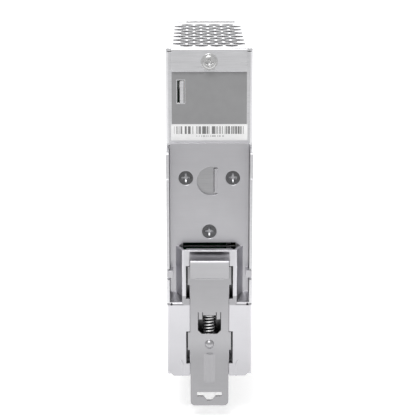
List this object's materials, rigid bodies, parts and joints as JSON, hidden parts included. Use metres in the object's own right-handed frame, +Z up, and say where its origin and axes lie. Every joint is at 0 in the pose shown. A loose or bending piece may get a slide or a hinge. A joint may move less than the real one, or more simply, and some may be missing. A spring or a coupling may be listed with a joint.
{
  "type": "din rail power supply",
  "caption": "Slim steel-cased power supply with a perforated top, rear hooks and a spring-loaded sliding foot that clip it onto a 35 mm rail.",
  "frame": {"origin": "where the rail's centre line meets the plane that the rail's two lips seat on, at mid width", "axes": "+X across the width, +Y from the front face towards the rail, +Z up"},
  "size_m": [0.032, 0.1055, 0.1365],
  "materials": {
    "case_steel": "zinc-plated sheet, satin",
    "bracket_steel": "nickel-plated sheet, satin",
    "screw_steel": "plated",
    "dark_screw_steel": "dark plated",
    "spring_steel": "bright drawn wire",
    "grey_label": "matt printed film",
    "white_label": "matt paper film",
    "fascia_plastic": "fine spark texture",
    "terminal_plastic": "moulded",
    "contact_brass": "tinned brass",
    "clamp_steel": "zinc-plated",
    "trimmer_plastic": "moulded",
    "rotor_plastic": "moulded",
    "led_epoxy": "tinted epoxy",
    "pipe_acrylic": "clear moulding",
    "board_laminate": "solder mask",
    "insulating_film": "translucent film",
    "fuse_ceramic": "ceramic tube",
    "varistor_coating": "dipped coating",
    "capacitor_box": "moulded box",
    "ferrite": "sintered",
    "copper_winding": "enamelled wire",
    "winding_tape": "polyester tape",
    "black_epoxy": "moulded",
    "capacitor_sleeve": "shrink sleeve",
    "heatsink_aluminium": "extruded"
  },
  "bodies": {
    "root": {"chassis": "case_steel", "case_cover": "case_steel", "front_fascia": "fascia_plastic", "flap_screw": "screw_steel", "cover_screws": "screw_steel", "rating_label": "grey_label", "code_label": "white_label", "rail_bracket": "bracket_steel", "bracket_screws": "dark_screw_steel", "foot_spring": "spring_steel", "main_board": "board_laminate", "insulation_sheet": "insulating_film", "board_standoffs": "screw_steel", "board_screws": "screw_steel", "output_board": "board_laminate", "input_board": "board_laminate", "output_terminal_housing": "terminal_plastic", "input_terminal_housing": "terminal_plastic", "output_contacts": "contact_brass", "input_contacts": "contact_brass", "trimmer_body": "trimmer_plastic", "status_led": "led_epoxy", "light_pipe": "pipe_acrylic", "line_fuse": "fuse_ceramic", "inrush_thermistor": "varistor_coating", "surge_varistor": "varistor_coating", "line_filter_capacitor": "capacitor_box", "safety_capacitors": "varistor_coating", "filter_choke_core": "ferrite", "filter_choke_windings": "copper_winding", "bridge_rectifier": "black_epoxy", "bulk_capacitor": "capacitor_sleeve", "primary_heatsink": "heatsink_aluminium", "power_transistor": "black_epoxy", "transformer_core": "ferrite", "transformer_winding": "winding_tape", "secondary_heatsink": "heatsink_aluminium", "output_rectifier": "black_epoxy", "heatsink_screws": "screw_steel", "output_capacitors": "capacitor_sleeve", "output_inductor": "copper_winding", "optocouplers": "black_epoxy", "control_board": "board_laminate"},
    "foot": {"foot_slide": "bracket_steel"},
    "trimmer": {"trimmer_rotor": "rotor_plastic"},
    "output_screw_1_body": {"output_screw_1": "clamp_steel"},
    "output_cage_1_body": {"output_cage_1": "clamp_steel"},
    "output_screw_2_body": {"output_screw_2": "clamp_steel"},
    "output_cage_2_body": {"output_cage_2": "clamp_steel"},
    "output_screw_3_body": {"output_screw_3": "clamp_steel"},
    "output_cage_3_body": {"output_cage_3": "clamp_steel"},
    "output_screw_4_body": {"output_screw_4": "clamp_steel"},
    "output_cage_4_body": {"output_cage_4": "clamp_steel"},
    "input_screw_1_body": {"input_screw_1": "clamp_steel"},
    "input_cage_1_body": {"input_cage_1": "clamp_steel"},
    "input_screw_2_body": {"input_screw_2": "clamp_steel"},
    "input_cage_2_body": {"input_cage_2": "clamp_steel"},
    "input_screw_3_body": {"input_screw_3": "clamp_steel"},
    "input_cage_3_body": {"input_cage_3": "clamp_steel"}
  },
  "joints": [
    {"name": "foot_travel", "type": "slide", "parent": "root", "child": "foot", "axis": [0, 0, -1], "range_m": [0, 0.005], "stiffness_N_per_m": 900, "springref_m": -0.003, "deforming": ["foot_spring"]},
    {"name": "trimmer_turn", "type": "hinge", "parent": "root", "child": "trimmer", "pos_m": [0.005, -0.095, 0.034], "axis": [0, -1, 0], "range_deg": [-130, 130]},
    {"name": "output_screw_1_turn", "type": "hinge", "parent": "root", "child": "output_screw_1_body", "pos_m": [-0.00902, -0.098, 0.0485], "axis": [0, 1, 0], "range_deg": [0, 2000.5]},
    {"name": "output_cage_1_lift", "type": "slide", "parent": "root", "child": "output_cage_1_body", "axis": [0, -1, 0], "range_m": [0, 0.0025]},
    {"name": "output_screw_2_turn", "type": "hinge", "parent": "root", "child": "output_screw_2_body", "pos_m": [-0.00394, -0.098, 0.0485], "axis": [0, 1, 0], "range_deg": [0, 2000.5]},
    {"name": "output_cage_2_lift", "type": "slide", "parent": "root", "child": "output_cage_2_body", "axis": [0, -1, 0], "range_m": [0, 0.0025]},
    {"name": "output_screw_3_turn", "type": "hinge", "parent": "root", "child": "output_screw_3_body", "pos_m": [0.00114, -0.098, 0.0485], "axis": [0, 1, 0], "range_deg": [0, 2000.5]},
    {"name": "output_cage_3_lift", "type": "slide", "parent": "root", "child": "output_cage_3_body", "axis": [0, -1, 0], "range_m": [0, 0.0025]},
    {"name": "output_screw_4_turn", "type": "hinge", "parent": "root", "child": "output_screw_4_body", "pos_m": [0.00622, -0.098, 0.0485], "axis": [0, 1, 0], "range_deg": [0, 2000.5]},
    {"name": "output_cage_4_lift", "type": "slide", "parent": "root", "child": "output_cage_4_body", "axis": [0, -1, 0], "range_m": [0, 0.0025]},
    {"name": "input_screw_1_turn", "type": "hinge", "parent": "root", "child": "input_screw_1_body", "pos_m": [-0.00762, -0.098, -0.0485], "axis": [0, 1, 0], "range_deg": [0, 2000.5]},
    {"name": "input_cage_1_lift", "type": "slide", "parent": "root", "child": "input_cage_1_body", "axis": [0, -1, 0], "range_m": [0, 0.0025]},
    {"name": "input_screw_2_turn", "type": "hinge", "parent": "root", "child": "input_screw_2_body", "pos_m": [0, -0.098, -0.0485], "axis": [0, 1, 0], "range_deg": [0, 2000.5]},
    {"name": "input_cage_2_lift", "type": "slide", "parent": "root", "child": "input_cage_2_body", "axis": [0, -1, 0], "range_m": [0, 0.0025]},
    {"name": "input_screw_3_turn", "type": "hinge", "parent": "root", "child": "input_screw_3_body", "pos_m": [0.00762, -0.098, -0.0485], "axis": [0, 1, 0], "range_deg": [0, 2000.5]},
    {"name": "input_cage_3_lift", "type": "slide", "parent": "root", "child": "input_cage_3_body", "axis": [0, -1, 0], "range_m": [0, 0.0025]}
  ],
  "couplings": [
    {"joint": "output_screw_1_turn", "follows": "output_cage_1_lift", "rad_per_m": 13963},
    {"joint": "output_screw_2_turn", "follows": "output_cage_2_lift", "rad_per_m": 13963},
    {"joint": "output_screw_3_turn", "follows": "output_cage_3_lift", "rad_per_m": 13963},
    {"joint": "output_screw_4_turn", "follows": "output_cage_4_lift", "rad_per_m": 13963},
    {"joint": "input_screw_1_turn", "follows": "input_cage_1_lift", "rad_per_m": 13963},
    {"joint": "input_screw_2_turn", "follows": "input_cage_2_lift", "rad_per_m": 13963},
    {"joint": "input_screw_3_turn", "follows": "input_cage_3_lift", "rad_per_m": 13963}
  ]
}
